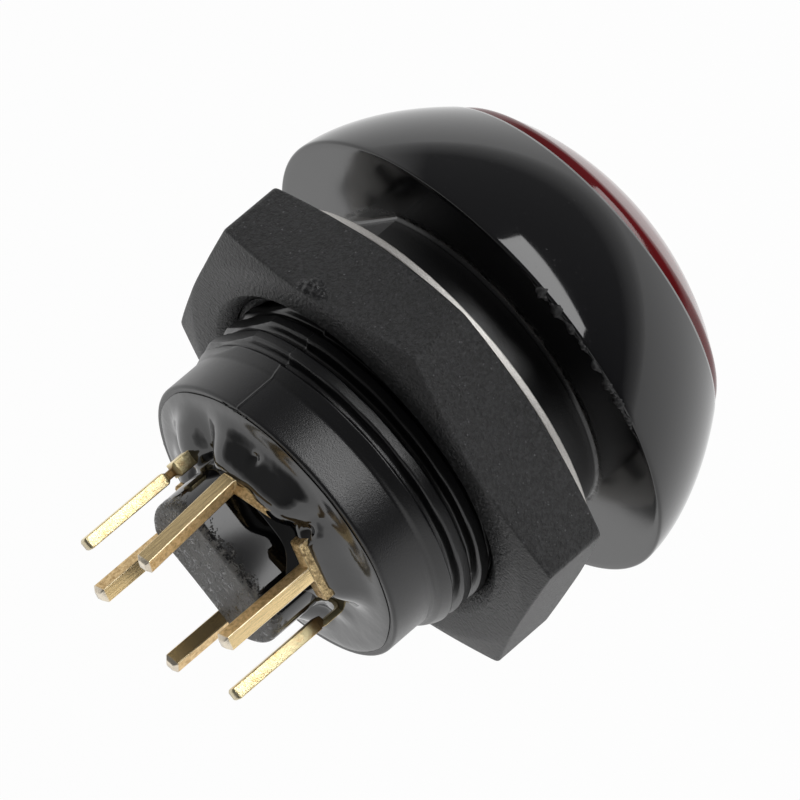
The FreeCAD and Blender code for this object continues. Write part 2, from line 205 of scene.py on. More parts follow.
# Resin: lip on the rim, rounded edge, climb up the boss and its bridge to one terminal. Each pin has a hill,
# given by row, column, half length of the pin's plate, climb and spread, and each bubble a pit, given by x, z,
# size and depth
RESIN_LIP_R = 7.08
RESIN_EDGE = 0.11
RESIN_EDGE_SPREAD = 0.30
RESIN_FADE = 1.20
RESIN_BELOW_BOSS = 0.35
BOSS_CLIMB = 1.10
BOSS_CLIMB_SPREAD = 0.36
BRIDGE_CLIMB = 1.00
BRIDGE_SPREAD = 0.20
BRIDGE_WIDTH = 0.90
RESIN_HILLS = (
    (LEAD_COLUMN, 0, 0.0, 1.22, 1.60),
    (TERMINAL_ROW, TERMINAL_COLUMN, 1.5, 1.45, 1.45),
    (-TERMINAL_ROW, TERMINAL_COLUMN, 1.3, 1.12, 1.25),
    (TERMINAL_ROW, -TERMINAL_COLUMN, 1.3, 1.12, 1.25),
    (-TERMINAL_ROW, -TERMINAL_COLUMN, 1.3, 1.12, 1.25),
    (-LEAD_COLUMN, 0, 0.0, 0.15, 0.80))
RESIN_PITS = (
    (0.52, 5.60, 0.22, 0.20), (-2.95, 3.98, 0.30, 0.30), (0.10, 4.20, 0.34, 0.24),
    (-3.3, -3.3, 0.45, 0.16), (-4.6, 1.2, 0.16, 0.10))

# Springs: node, wire, pitch, fixed end and the share of the length left when the button is pressed
SPRINGS = (("return_spring", 0.45, 1.30, 3.80, 0.47), ("contact_spring", 0.25, 0.70, BASE_FRONT, 0.52))

# Camera: where the photograph was taken from, its long lens and the point it looks at
CAMERA_AZIMUTH = math.radians(225.016)
CAMERA_ELEVATION = math.radians(59.947)
CAMERA_ROLL = math.radians(0.482)
CAMERA_DISTANCE = 392.99
CAMERA_AIM = Vector((0.976, 3.213, -0.975))
CAMERA_LENS = 405.0
CAMERA_SENSOR = 36.0

# Light: softbox in millimetres and watts, and floor
SOFTBOX_CENTRE = Vector((-185, -255, 400))
SOFTBOX_WIDTH = 470
SOFTBOX_HEIGHT = 290
SOFTBOX_POWER = 2.0
FLOOR_DROP = 45.0
FLOOR_SIDE = 3000.0
FLOOR_SEEN_WHITE = 0.96


def circle(count):
    """Equal angles once round the axis."""
    return np.linspace(0, TAU, count, endpoint=False)


def place(radius, depth, angle):
    """Points at a radius, depth and angle about the switch's axis."""
    radius, depth, angle = np.broadcast_arrays(radius, depth, angle)
    return np.stack([radius * np.cos(angle), depth, radius * np.sin(angle)], -1)


def ease(low, high, value):
    """Smooth step from 0 at low to 1 at high: 3t^2 - 2t^3 of the clipped share of the way."""
    share = np.clip((value - low) / (high - low), 0, 1)
    return share * share * (3 - 2 * share)


def band(value, rise_start, rise_end, fall_start, fall_end):
    """Smooth step from 0 up to 1, and another back down to 0."""
    return ease(rise_start, rise_end, value) * (1 - ease(fall_start, fall_end, value))


def softened(corners, reach, steps, closed=True):
    """Outline with rounded corners: each corner gives way to the quadratic Bezier curve that leaves its two
    sides at the reach, or at 0.45 of the shorter side. Corners are (count, ..., 2 or 3)."""
    before = np.roll(corners, 1, 0) - corners
    after = np.roll(corners, -1, 0) - corners
    before_len = np.linalg.norm(before, axis=-1, keepdims=True) + 1e-9
    after_len = np.linalg.norm(after, axis=-1, keepdims=True) + 1e-9
    cut = np.minimum(reach, 0.45 * np.minimum(before_len, after_len))
    if not closed:
        cut[[0, -1]] = 0
    start = corners + before / before_len * cut
    end = corners + after / after_len * cut
    t = np.linspace(0, 1, steps).reshape((1, steps) + (1,) * (corners.ndim - 1))
    curve = (1 - t) ** 2 * start[:, None] + 2 * t * (1 - t) * corners[:, None] + t ** 2 * end[:, None]
    return curve.reshape((-1,) + corners.shape[1:])


def quads(points, wrap_rows, wrap_columns, first):
    """Quads between neighbours of a grid of points that starts at the first index, wound so that their volume
    is positive."""
    rows, columns = points.shape[:2]
    index = np.arange(rows * columns).reshape(rows, columns)
    if wrap_rows:
        index = np.vstack([index, index[:1]])
    if wrap_columns:
        index = np.hstack([index, index[:, :1]])
    faces = np.stack([index[:-1, :-1], index[1:, :-1], index[1:, 1:], index[:-1, 1:]], -1)
    faces = faces.reshape(-1, 4)
    a, b, c, d = (points.reshape(-1, 3)[faces[:, k]] for k in range(4))
    volume = np.sum(np.cross(a, b) * c) + np.sum(np.cross(a, c) * d)
    if volume < 0:
        faces = faces[:, ::-1]
    return faces + first


def piece(name, body, slot, finish, *grids, stands_for=(), flat_sides=True):
    """Object made of grids (points, rows wrap, columns wrap, marks), with poles and seams merged, riding on a
    body. The marks are values at a grid's points that the finish reads by name."""
    points = np.concatenate([grid[0].reshape(-1, 3) for grid in grids]) * MM
    starts = np.cumsum([0] + [grid[0].shape[0] * grid[0].shape[1] for grid in grids])
    faces = np.concatenate([quads(*grid[:3], start) for grid, start in zip(grids, starts)])
    mesh = bpy.data.meshes.new(name)
    mesh.from_pydata(points.tolist(), [], faces.tolist())
    for mark in grids[0][3] if len(grids[0]) > 3 else ():
        values = np.concatenate([np.broadcast_to(grid[3][mark], grid[0].shape[:2]).ravel()
                                 for grid in grids])
        mesh.attributes.new(mark, "FLOAT", "POINT").data.foreach_set("value", values.astype(np.float32))
    work = bmesh.new()
    work.from_mesh(mesh)
    bmesh.ops.remove_doubles(work, verts=work.verts, dist=1e-7)
    work.to_mesh(mesh)
    work.free()
    mesh.polygons.foreach_set("use_smooth", np.ones(len(mesh.polygons), bool))
    mesh.materials.append(finish)
    obj = bpy.data.objects.new(name, mesh)
    bpy.context.scene.collection.objects.link(obj)
    if flat_sides:
        obj.modifiers.new("Weighted normals", "WEIGHTED_NORMAL").weight = 80
    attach(obj, body)
    if stands_for:
        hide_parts(*stands_for)
    return obj


def corner_rows(angle, *pairs):
    """Corners of a profile at every angle, from pairs of a radius and a depth, each one number or one row
    over the angles."""
    rows = [np.stack(np.broadcast_arrays(radius, depth, angle)[:2], -1) for radius, depth in pairs]
    return np.concatenate(rows)


def thread_wave(depth, angle):
    """Share of the ridge height of a right-handed thread: a trapezium wave of depth plus pitch times turn,
    its root and flank given as shares of half a pitch."""
    phase = (depth + THREAD_PITCH * angle / TAU) / THREAD_PITCH
    wave = 2 * np.abs(phase % 1 - 0.5)
    return np.clip((wave - THREAD_ROOT) / THREAD_FLANK, 0, 1)


def off_by(angle, middle):
    """Signed angle from a middle one, within half a turn."""
    return (angle - middle + math.pi) % TAU - math.pi


def bushing_radius(depth, angle):
    """Outside of the bushing: a plain tail, ridges that run out towards it and stand lower and out of step on
    one side of the parting lines, and a plain neck, all cut by one flat at its reach over the cosine."""
    off_relief = np.abs(off_by(angle, INSERT_TURN))
    relieved = 1 - ease(RELIEF_HALF - RELIEF_SOFT, RELIEF_HALF + RELIEF_SOFT, off_relief)
    run_out = ease(RUN_OUT_END, RUN_OUT_START, depth)
    height = (THREAD_R - RELIEF_DEPTH * relieved - ROOT_R) * run_out
    wave = thread_wave(depth + PARTING_SHIFT * relieved, angle)
    parting = PARTING_HEIGHT * np.exp(-((off_relief - RELIEF_HALF) / PARTING_WIDTH) ** 2)
    radius = TAIL_R + (ROOT_R - TAIL_R) * run_out + height * wave + parting
    on_neck = ease(NECK_END + NECK_SOFT, NECK_END - NECK_SOFT, depth)
    radius = radius + (NECK_R - radius) * on_neck
    least_slant = 0.2
    slant = np.maximum(np.cos(off_by(angle, FLAT_TURN)), least_slant)
    return np.minimum(radius, FLAT_REACH / slant)


def bezel_radius(depth):
    """Outside of the dome: |r/R|^p + |h/H|^p = 1 with p the curve's power, through the mouth's outer edge."""
    share = 1 - ((MOUTH_R + MOUTH_EDGE) / BEZEL_R) ** BEZEL_CURVE
    reach = (BEZEL_WIDEST - BEZEL_FRONT) / share ** (1 / BEZEL_CURVE)
    height = np.clip((BEZEL_WIDEST - depth) / reach, 0, 1)
    return BEZEL_R * (1 - height ** BEZEL_CURVE) ** (1 / BEZEL_CURVE)


def bushing_angles(count):
    """Angles once round, three times as close where the flat runs out into the round and four times as close
    at the parting lines."""
    angle = np.linspace(0, TAU, 2881)
    off_flat = np.abs(off_by(angle, FLAT_TURN))
    off_parting = np.abs(np.abs(off_by(angle, INSERT_TURN)) - RELIEF_HALF)
    by_flat_end = (off_flat > 0.26) & (off_flat < 0.40)
    by_parting = off_parting < 0.03
    density = 1 + 2 * by_flat_end + 3 * by_parting
    travelled = np.concatenate([[0], np.cumsum((density[1:] + density[:-1]) / 2)])
    return np.interp(np.linspace(0, travelled[-1], count, endpoint=False), travelled, angle)


def housing_grid():
    """One closed loop of rows, each once round the axis: rim of the bushing, tail, thread, neck, seat, dome,
    mouth, bowl, web and bore."""
    angle = bushing_angles(400)[None]
    bend = np.linspace(0, math.pi / 2, 6)[::-1, None]
    rim_r = bushing_radius(BUSHING_END, angle) - RIM_EDGE * (1 - np.cos(bend))
    rim_depth = BUSHING_END - RIM_EDGE * (1 - np.sin(bend))
    rows = int((RUN_OUT_END - NECK_END) / THREAD_PITCH * ROWS_PER_PITCH)
    tail = np.linspace(BUSHING_END - 0.25, RUN_OUT_END + 0.12, 6)
    thread = np.linspace(RUN_OUT_END + 0.07, NECK_END - 0.06, rows)
    side_depth = np.concatenate([tail, thread, NECK_DEPTHS])[:, None]
    neck_r = bushing_radius(0, angle)
    seat_share = np.array([0, 0.02, 0.08, 0.3, 0.6, 0.92, 1])[:, None]
    seat_r = neck_r + SEAT_ROOT + (BEZEL_R - SEAT_EDGE - neck_r - SEAT_ROOT) * seat_share
    seat_depth = np.array([0.06, 0.015, 0, 0, 0, 0, 0])[:, None]
    edge_r = BEZEL_R - SEAT_EDGE + SEAT_EDGE * np.cos(bend[1:-1])
    edge_depth = BEZEL_WIDEST * (1 - np.sin(bend[1:-1]))
    dome_depth = BEZEL_WIDEST + (BEZEL_FRONT - BEZEL_WIDEST) * np.linspace(0, 1, 44)[:, None]
    inner = np.array([
        (MOUTH_R, BEZEL_FRONT), (MOUTH_R, BOWL_FLOOR), (WEB_HOLE_R, BOWL_FLOOR), (WEB_HOLE_R, WEB_UNDER),
        (BORE_R, WEB_UNDER), (BORE_R, REAR_BORE_START), (REAR_BORE_R, REAR_BORE_START),
        (REAR_BORE_R, BUSHING_END)])
    inner = softened(inner, MOUTH_EDGE / 2, 4)
    strips = ((rim_r, rim_depth), (bushing_radius(side_depth, angle), side_depth), (seat_r, seat_depth),
              (edge_r, edge_depth), (bezel_radius(dome_depth), dome_depth), (inner[:, :1], inner[:, 1:]))
    return np.concatenate([place(radius, depth, angle) for radius, depth in strips]), True, True


def cap_profile(edge_r, edge_depth, top_depth, count):
    """Profile from the pole to the edge of a ball's cap: r = B sin t, depth = top + B (1 - cos t)."""
    rise = edge_depth - top_depth
    ball_r = (edge_r ** 2 + rise ** 2) / (2 * rise)
    turn = np.linspace(0, math.asin(edge_r / ball_r), count)[:, None]
    return np.hstack([ball_r * np.sin(turn), top_depth + ball_r * (1 - np.cos(turn))])


def lens_grid():
    """Ball's cap that turns down over a steep rounded shoulder into a straight skirt, hollow underneath by a
    like cap, from pole to pole."""
    crown = cap_profile(LENS_R - LENS_LEAN, BEZEL_FRONT - LENS_SHOULDER, LENS_TOP, 44)
    inner_r = LENS_R - LENS_WALL
    hollow = cap_profile(inner_r, BEZEL_FRONT + 0.25, LENS_TOP + LENS_WALL, 20)[::-1]
    given_way = 8
    edge = np.array([crown[-given_way], crown[-1], (LENS_R, BEZEL_FRONT + 0.02), (LENS_R, LENS_HIGH[1]),
                     (inner_r, LENS_HIGH[1]), (inner_r, BEZEL_FRONT + 0.45)])
    skirt = softened(edge, LENS_EDGE, 7, closed=False)
    profile = np.vstack([crown[:-given_way], skirt, hollow])
    return place(profile[:, :1], profile[:, 1:], circle(224)[None]), False, True


def hexagon_radius(angle):
    """Outside of the nut, a hexagon with round corners: half the width across flats over the cosine on the
    sides, and near a corner the far cut of the small circle that touches both sides."""
    off_side = (angle - NUT_TURN) % (2 * HALF_SIDE_TURN) - HALF_SIDE_TURN
    to_corner = HALF_SIDE_TURN - np.abs(off_side)
    centre = (NUT_SIDE - NUT_ROUND) / math.cos(HALF_SIDE_TURN)
    side = NUT_SIDE / np.cos(off_side)
    root = np.maximum(NUT_ROUND ** 2 - (centre * np.sin(to_corner)) ** 2, 0)
    rounded = centre * np.cos(to_corner) + np.sqrt(root)
    on_side = centre * np.sin(to_corner) > NUT_ROUND * math.sin(HALF_SIDE_TURN)
    return np.where(on_side, side, rounded)


def nut_grid():
    """Hexagon with both faces chamfered by a shallow cone and softened edges, its bore carrying the inner
    thread."""
    angle = circle(540)[None]
    outer = hexagon_radius(angle)
    face_r = NUT_SIDE - NUT_FACE_IN
    drop = (outer - face_r) * NUT_CHAMFER
    corners = corner_rows(
        angle, (NUT_BORE_R + NUT_SINK, NUT_REAR), (face_r, NUT_REAR), (outer, NUT_REAR - drop),
        (outer, NUT_FRONT + drop), (face_r, NUT_FRONT), (NUT_BORE_R + NUT_FRONT_SINK, NUT_FRONT))
    outside = softened(corners, NUT_EDGE, 6, closed=False)
    depth = np.linspace(NUT_FRONT + 0.1, NUT_REAR - NUT_SINK, 58)[:, None]
    fade = ease(NUT_FRONT, NUT_FRONT + 0.5, depth) * ease(NUT_REAR - 0.2, NUT_REAR - 0.9, depth)
    ridge = thread_wave(depth + THREAD_PITCH / 2, angle) ** 2
    bore = NUT_BORE_R - (NUT_BORE_R - NUT_MINOR_R) * fade * ridge
    rows = [place(outside[..., 0], outside[..., 1], angle), place(bore, depth, angle)]
    return np.concatenate(rows), True, True


def gate_grid():
    """Torn gate on a side of the nut: a low mound over a wavering oval, its height falling as 1 - s^2 from a
    crown crossed by creases, with a flat underside sunk in the face."""
    share = np.linspace(0, 1, 22)[:, None]
    turn = circle(72)[None]
    waver = 1 + 0.14 * np.sin(3 * turn + 0.5) + 0.08 * np.sin(7 * turn + 2)
    along = GATE_ALONG + GATE_HALF_LONG * share * waver * np.cos(turn)
    depth = GATE_DEPTH + GATE_HALF_HIGH * share * waver * np.sin(turn)
    crease = 0.5 + 0.5 * np.sin(9 * along + 7 * depth) * np.sin(6 * along - 11 * depth)
    lift = GATE_LIFT * (1 - share ** 2) * (0.45 + 0.75 * crease) - 0.02
    along, depth = (np.concatenate([rows, rows[[-1, 0]]]) for rows in (along, depth))
    lift = np.concatenate([lift, np.full_like(lift[:2], -GATE_SINK)])
    outward, sideways = math.cos(GATE_TURN), math.sin(GATE_TURN)
    reach = NUT_SIDE + lift
    points = np.stack([reach * outward - along * sideways, depth, reach * sideways + along * outward], -1)
    return points, False, True


def washer_grid():
    """Flat ring whose inner edge steps in and out as teeth, a little wavy, with stamped edges."""
    angle = circle(480)[None]
    wave = np.abs(((angle * WASHER_TEETH / TAU) % 1) - 0.5) * 2
    inner = NUT_BORE_R + WASHER_GAP * ease(0.50, 0.58, wave)
    lift = WASHER_WAVE * np.sin(3 * angle + 0.6)
    front, rear = WASHER_LOW[1] + WASHER_PLAY + lift, WASHER_HIGH[1] - WASHER_PLAY + lift
    corners = corner_rows(angle, (inner, front), (WASHER_R, front), (WASHER_R, rear), (inner, rear))
    outline = softened(corners, WASHER_EDGE, 5)
    return place(outline[..., 0], outline[..., 1], angle), True, True


def boss_radius(angle):
    """Outline of the rear boss, a circle cut by flats along the two rows of terminals: the smaller of its
    radius and the flats' distance over the cosine."""
    slant = np.abs(np.cos(angle - INSERT_TURN - math.pi / 2))
    return np.minimum(BOSS_R, BOSS_HALF / np.maximum(slant, 1e-6))


def base_grid():
    """Rear boss with a rounded end, the disc under the resin and the lamp's post, from pole to pole."""
    angle = circle(288)[None]
    boss = boss_radius(angle)
    corners = corner_rows(
        angle, (0, BOSS_END), (boss, BOSS_END), (boss, BASE_REAR), (BASE_R, BASE_REAR), (BASE_R, BASE_FRONT),
        (POST_R, BASE_FRONT), (POST_R, LAMP_SEAT), (0, LAMP_SEAT))
    outline = softened(corners, BASE_EDGE, 7, closed=False)
    return place(outline[..., 0], outline[..., 1], angle), False, True


def plan(x, depth, column):
    """Points of the insert's own plan, row x and column across it, turned with the insert into the part's
    frame."""
    turn, cross = math.cos(INSERT_TURN), math.sin(INSERT_TURN)
    return np.stack([x * turn - column * cross, depth + 0 * x, x * cross + column * turn], -1)


def resin_hills(row, column):
    """Heights that the resin climbs round each pin, at places of the insert's plan: climb times
    e^-(d/spread)^2.4, with d the distance from the pin's plate, a line with soft ends."""
    hills = []
    for pin_row, pin_column, half, climb, spread in RESIN_HILLS:
        facing = math.atan2(pin_column, pin_row)
        off_row, off_column = row - pin_row, column - pin_column
        out = off_row * math.cos(facing) + off_column * math.sin(facing)
        side = np.abs(off_column * math.cos(facing) - off_row * math.sin(facing)) - half
        beyond = (side + np.sqrt(side ** 2 + 0.09)) / 2
        hills.append(climb * np.exp(-((out ** 2 + beyond ** 2) / spread ** 2) ** 1.2))
    return hills


def resin_grid():
    """Pool of resin between the boss and a thin lip on the bushing's rim, closed by a flat underside
    and the bore's wall: a rounded edge, the fourth-power mean of the pins' hills and the climb up the boss, a
    few bubbles' pits. The climb is higher and wider where the resin bridges from the boss to one terminal."""
    angle = circle(432)[None]
    inner = boss_radius(angle) - 0.02
    share = np.linspace(0, 1, 96)[:, None]
    lip = RESIN_LIP_R + 0.03 * np.sin(5 * angle + 1) + 0.02 * np.sin(13 * angle)
    radius = lip + (inner - lip) * share
    x, z = radius * np.cos(angle), radius * np.sin(angle)
    row, column = radius * np.cos(angle - INSERT_TURN), radius * np.sin(angle - INSERT_TURN)
    bridge = np.exp(-((row + TERMINAL_ROW) / BRIDGE_WIDTH) ** 2) * ease(0, 2, column)
    spread = BOSS_CLIMB_SPREAD + BRIDGE_SPREAD * bridge
    climb = (BOSS_CLIMB + BRIDGE_CLIMB * bridge) * np.exp(-(radius - inner) / spread)
    lifts = np.stack(resin_hills(row, column) + [climb])
    inward = lip - radius
    rounded = RESIN_EDGE * (1 - np.exp(-inward / RESIN_EDGE_SPREAD))
    height = BUSHING_END + 0.01 + rounded + ease(0, RESIN_FADE, inward) * np.sum(lifts ** 4, 0) ** 0.25
    for pit_x, pit_z, size, deep in RESIN_PITS:
        height = height - deep * np.exp(-((x - pit_x) ** 2 + (z - pit_z) ** 2) / size ** 2)
    top = place(radius, np.minimum(height, BOSS_END - RESIN_BELOW_BOSS), angle)
    bore = REAR_BORE_R - 0.01
    under = [place(inner, BASE_REAR, angle), place(bore, BASE_REAR, angle),
             place(bore, BUSHING_END + 0.002, angle)]
    return np.concatenate([top] + under), True, True


def rounded_box(half_wide, half_thick, soft):
    """Closed outline of a rectangle with round corners, one row for each given half width and thickness."""
    signs = np.array([(1, 1), (-1, 1), (-1, -1), (1, -1)])[:, None]
    corners = signs * np.stack([half_wide, half_thick], -1)[None]
    return softened(corners, soft, 4).transpose(1, 0, 2)


def bar_grid(path, across, half_wide, half_thick, soft, cut=0.0, stain=0.0):
    """Bar with a rounded rectangular section carried along a flat path: the wide axis is the given direction
    and the thin one is square to it and to the path. Both ends close on a middle point. Its marks tell the
    sheared sides, 1 where the outline faces along the wide axis, the rounded edges, the cut ends and the
    stretches that are stained or darkened by painted shade."""
    across = np.broadcast_to(across, path.shape)
    along = np.gradient(path, axis=0)
    thin = np.cross(along, across)
    thin = thin / np.linalg.norm(thin, axis=1, keepdims=True)
    outline = rounded_box(half_wide, half_thick, soft)
    rows = path[:, None] + outline[..., :1] * across[:, None] + outline[..., 1:] * thin[:, None]
    count = rows.shape[1]
    start = np.repeat(path[:1, None], count, 1)
    end = np.repeat(path[-1:, None], count, 1)
    bend = np.linspace(0, 1, count // 4)
    sheared = 1 - np.concatenate([bend, bend[::-1], bend, bend[::-1]])[None]
    ends = np.broadcast_to(cut, path.shape[:1])
    stains_and_shade = np.broadcast_to(stain, path.shape[:1])
    marks = {"sheared": sheared, "edge": 4 * sheared * (1 - sheared),
             "cut": np.r_[ends[0], ends, ends[-1]][:, None],
             "stain": np.r_[stains_and_shade[0], stains_and_shade, stains_and_shade[-1]][:, None]}
    return np.concatenate([start, rows, end]), False, True, marks


def terminal_grids(row, side, tip, finger_depth):
    """Square pin with a bevelled tip, a wide shoulder that dives into the resin and a riser, and its contact
    finger. The bent pin is pushed along its shoulder, leans back towards its tip and is a little twisted."""
    pin, plate = TERMINAL_HALF, SHOULDER_HALF
    depth, wide, thick, cut = np.array([
        (tip, 0.20, 0.20, 1), (tip - 0.03, 0.23, 0.23, 1), (tip - 0.16, pin, pin, 1),
        (tip - 0.22, pin, pin, 0), (16.4, pin, pin, 0), (14.8, pin, pin, 0),
        (SHOULDER_END + 0.10, pin, pin, 0), (SHOULDER_END + 0.02, 0.40, pin, 0),
        (SHOULDER_END - 0.02, 1.54, 0.33, 0),
        (SHOULDER_END - 0.10, plate, pin, 0), (11.5, plate, pin, 0), (BASE_REAR + 0.02, plate, pin, 0),
        (BASE_REAR - 0.02, pin, pin, 0), (finger_depth, pin, pin, 0)]).T
    stain = 1.0 * (depth < SHOULDER_END)
    x, column = row * TERMINAL_ROW, side * TERMINAL_COLUMN
    facing = math.atan2(column, x) + INSERT_TURN
    across = np.array([-math.sin(facing), 0, math.cos(facing)])
    outward = np.array([math.cos(facing), 0, math.sin(facing)])
    path = plan(x + 0 * depth, depth, column + 0 * depth)
    bent = (depth > SHOULDER_END) * (row > 0 and side > 0)
    lean = BENT_BASE + (BENT_TIP - BENT_BASE) * (depth - SHOULDER_END) / (tip - SHOULDER_END)
    path = path - (bent * lean)[:, None] * across
    twist = (bent * BENT_TWIST)[:, None]
    wide_axis = np.cos(twist) * across - np.sin(twist) * outward
    post = bar_grid(path, wide_axis, wide, thick, PIN_EDGE, cut, stain)
    reach = np.linspace(x + row * FINGER_W / 2, 0, 4)
    spine = plan(reach, finger_depth - FINGER_T / 2 + 0 * reach, column + 0 * reach)
    finger = bar_grid(spine, np.array([0.0, 1.0, 0.0]), np.full(4, FINGER_T / 2), np.full(4, FINGER_W / 2),
                      FINGER_EDGE)
    return post, finger


def lead_grid(row, tip):
    """Square lamp lead: down the post, out through the base and back to its cut tip. The long one keeps the
    stub of a tie bar behind a notch whose colour is darkened by painted shade, the short one is nipped to half
    its thickness where it leaves the resin."""
    inner, outer = row * LEAD_PITCH / 2, row * LEAD_COLUMN
    corners = np.array([(inner, LAMP_SEAT), (inner, LEAD_LEVEL), (outer, LEAD_LEVEL), (outer, 11.0)], float)
    route = softened(corners, LEAD_BEND, 7, closed=False)
    depth = np.linspace(11.2, tip, 90)
    route = np.vstack([route, np.stack([outer + 0 * depth, depth], -1)])
    steps = np.linalg.norm(np.diff(route, axis=0), axis=1)
    route = route[np.r_[True, steps > 1e-6]]
    x, y = route[:, 0], route[:, 1]
    behind = y > BASE_REAR
    taper = 1 - 0.30 * ease(tip - 0.12, tip, y) * behind
    cut = ease(tip - 0.16, tip - 0.10, y) * behind
    wide = thick = LEAD_HALF * taper
    if row > 0:
        # the long lead's notch band thins it and darkens its colour, the darkening being painted shade; the
        # short lead's band is a brown stain
        stub, stain = band(y, *STUB_SPAN), band(y, *NOTCH_SPAN)
        wide = wide + STUB_WIDER * stub - NOTCH_NARROWER * stain
        thick = thick + STUB_THICKER * stub - NOTCH_THINNER * stain
    else:
        nip = behind * (1 - ease(*NIP_END, y))
        stain = behind * band(y, *NIP_STAIN_SPAN)
        thick = thick - NIP_DEPTH * nip
        x = x + row * NIP_DEPTH * nip
    across = plan(np.array([0.0]), np.array([0.0]), np.array([1.0]))[0]
    return bar_grid(plan(x, y, 0 * y), across, wide, thick, PIN_EDGE, cut, stain)


def flash_grid(first, last, radius, depth, thick):
    """Torn flash along an edge: a thin cord on an arc about the axis between two angles in degrees, its
    thickness and place ragged by products of sines of the angle. Its ends close on a point."""
    share = np.linspace(0, 1, 420)
    angle = np.radians(first + (last - first) * share)[:, None]
    round_cord = circle(10)[None]
    coarse = np.sin(31 * angle + 1) * np.sin(47 * angle) + 0.7 * np.sin(71 * angle + 2)
    fine = 0.6 * np.sin(113 * angle) * np.sin(167 * angle + 2) + 0.2 * np.sin(251 * angle + 1)
    ragged = np.clip(0.42 + 0.30 * coarse + 0.26 * fine, 0.08, None)
    taper = np.maximum(band(share, 0, 0.10, 0.90, 1), 0.08)
    taper[[0, -1]] = 0
    ragged = ragged * taper[:, None]
    lump = 1 + 0.30 * np.sin(2 * round_cord + 60 * angle)
    sway = 0.05 * np.sin(83 * angle + 3)
    cord_r = thick * ragged * lump
    cord_radius = radius + sway + cord_r * np.cos(round_cord)
    return place(cord_radius, depth + cord_r * np.sin(round_cord), angle), False, True


def coil_grid(node, wire, pitch):
    """Round wire along a helix between a CAD node's ends, its angle and depth growing in step, with flat cut
    ends that close on a middle point."""
    low, high = node_span(node)
    turns = (high[1] - low[1] - wire) / pitch
    share = np.r_[0, np.linspace(0, 1, int(72 * turns)), 1][:, None]
    half = np.full_like(share, wire / 2)
    half[[0, -1]] = 0
    section = circle(14)[None]
    radius = high[0] - wire / 2 + half * np.cos(section)
    depth = low[1] + wire / 2 + pitch * turns * share + half * np.sin(section)
    return place(radius, depth, TAU * turns * share), False, True


class Value:
    """A shader socket that takes part in Python arithmetic: each operator adds one Math node."""

    def __init__(self, nodes, socket):
        self.nodes = nodes
        self.socket = socket

    def math(self, operation, first, second):
        return self.nodes.node("ShaderNodeMath", {"operation": operation}, {0: first, 1: second})

    def __add__(self, other):
        return self.math("ADD", self, other)

    __radd__ = __add__

    def __sub__(self, other):
        return self.math("SUBTRACT", self, other)

    def __rsub__(self, other):
        return self.math("SUBTRACT", other, self)

    def __mul__(self, other):
        return self.math("MULTIPLY", self, other)

    __rmul__ = __mul__


class Nodes:
    """A node tree, emptied, that gets all its nodes by one method."""

    def __init__(self, tree):
        self.tree = tree
        tree.nodes.clear()

    def node(self, kind, settings=None, sockets=None, output=0):
        """Adds a node, its settings first, then its sockets' values or links, and gives one of its
        outputs."""
        made = self.tree.nodes.new(kind)
        for key, value in (settings or {}).items():
            if key == "stops":
                self.set_stops(made.color_ramp, value)
            else:
                setattr(made, key, value)
        for key, value in (sockets or {}).items():
            if isinstance(value, Value):
                self.tree.links.new(value.socket, made.inputs[key])
            else:
                made.inputs[key].default_value = value
        return Value(self, made.outputs[output]) if len(made.outputs) else None

    def set_stops(self, ramp, stops):
        """Puts a ramp's stops, as pairs of a place and a grey."""
        while len(ramp.elements) < len(stops):
            ramp.elements.new(0.5)
        for element, (at, grey) in zip(ramp.elements, stops):
            element.position = at
            element.color = (grey, grey, grey, 1)

    def ramp(self, value, *stops):
        """Value carried through a ramp of stops."""
        return self.node("ShaderNodeValToRGB", {"stops": stops}, {0: value})

    def mix(self, share, first, second):
        """Colour between two colours."""
        return self.node("ShaderNodeMix", {"data_type": "RGBA"}, {0: share, 6: first, 7: second}, 2)

    def seen_directly(self):
        """1 for rays of the camera, of gloss and through clear pieces, 0 for the rest."""
        camera, gloss, clear = (self.node("ShaderNodeLightPath", {}, {}, "Is %s Ray" % kind)
                                for kind in ("Camera", "Glossy", "Transmission"))
        return camera.math("MAXIMUM", camera, gloss.math("MAXIMUM", gloss, clear))


